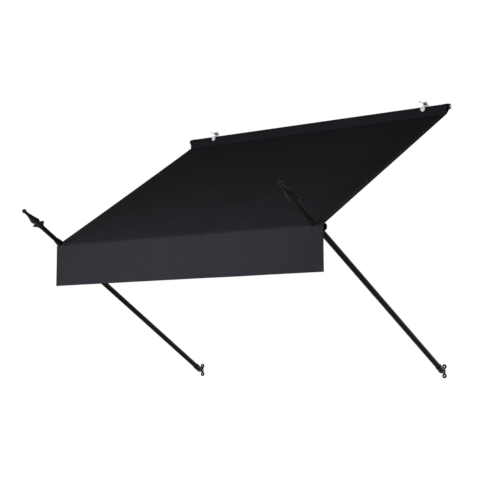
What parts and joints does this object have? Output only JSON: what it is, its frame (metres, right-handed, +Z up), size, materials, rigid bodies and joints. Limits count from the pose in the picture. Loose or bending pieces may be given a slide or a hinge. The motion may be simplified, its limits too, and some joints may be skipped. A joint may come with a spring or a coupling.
{
  "type": "window awning",
  "caption": "Window awning: a sloping cloth cover with a front flap, hung from a head rod in wall clamps and held out by hinged, spear-headed arms on lower wall brackets.",
  "frame": {"origin": "middle of the back face of the left lower wall bracket, on the wall", "axes": "+X to the right for someone who faces the wall, +Y into the wall, +Z up"},
  "size_m": [1.2258, 0.997, 1.0102],
  "materials": {
    "black_powder_coat": "satin black powder coat on steel tube",
    "black_casting": "black coated casting, slightly rough",
    "black_plastic": "moulded, satin",
    "zinc_plate": "bright zinc plate",
    "charcoal_cloth": "matt woven acrylic awning cloth, charcoal"
  },
  "bodies": {
    "root": {"head_rod": "black_powder_coat", "head_rod_cap_left": "black_plastic", "head_rod_cap_right": "black_plastic", "head_cap_screw_left": "zinc_plate", "head_cap_screw_right": "zinc_plate", "clamp_bracket_left": "zinc_plate", "clamp_bracket_right": "zinc_plate", "clamp_strap_left": "zinc_plate", "clamp_strap_right": "zinc_plate", "clamp_stud_left": "zinc_plate", "clamp_stud_right": "zinc_plate", "wing_nut_left": "zinc_plate", "wing_nut_right": "zinc_plate", "wall_bracket_left": "black_casting", "wall_bracket_right": "black_casting", "pivot_pin_left": "zinc_plate", "pivot_pin_right": "zinc_plate", "canopy": "charcoal_cloth"},
    "arm_frame": {"arm_fork_left": "black_casting", "arm_fork_right": "black_casting", "arm_tube_left": "black_powder_coat", "arm_tube_right": "black_powder_coat", "arm_plug_left": "black_plastic", "arm_plug_right": "black_plastic", "front_bar": "black_powder_coat", "front_bar_cap_left": "black_plastic", "front_bar_cap_right": "black_plastic", "bar_stud_left": "zinc_plate", "bar_stud_right": "zinc_plate", "grommet_left": "zinc_plate", "grommet_right": "zinc_plate", "lock_nut_left": "zinc_plate", "lock_nut_right": "zinc_plate", "spear_collar_left": "black_casting", "spear_collar_right": "black_casting", "spear_tube_left": "black_powder_coat", "spear_tube_right": "black_powder_coat", "spear_head_left": "black_casting", "spear_head_right": "black_casting", "valance": "charcoal_cloth"}
  },
  "joints": [
    {"name": "arm_swing", "type": "hinge", "parent": "root", "child": "arm_frame", "pos_m": [0.559, -0.016, 0], "axis": [-1, 0, 0], "range_deg": [0, 55], "deforming": ["canopy"]}
  ]
}
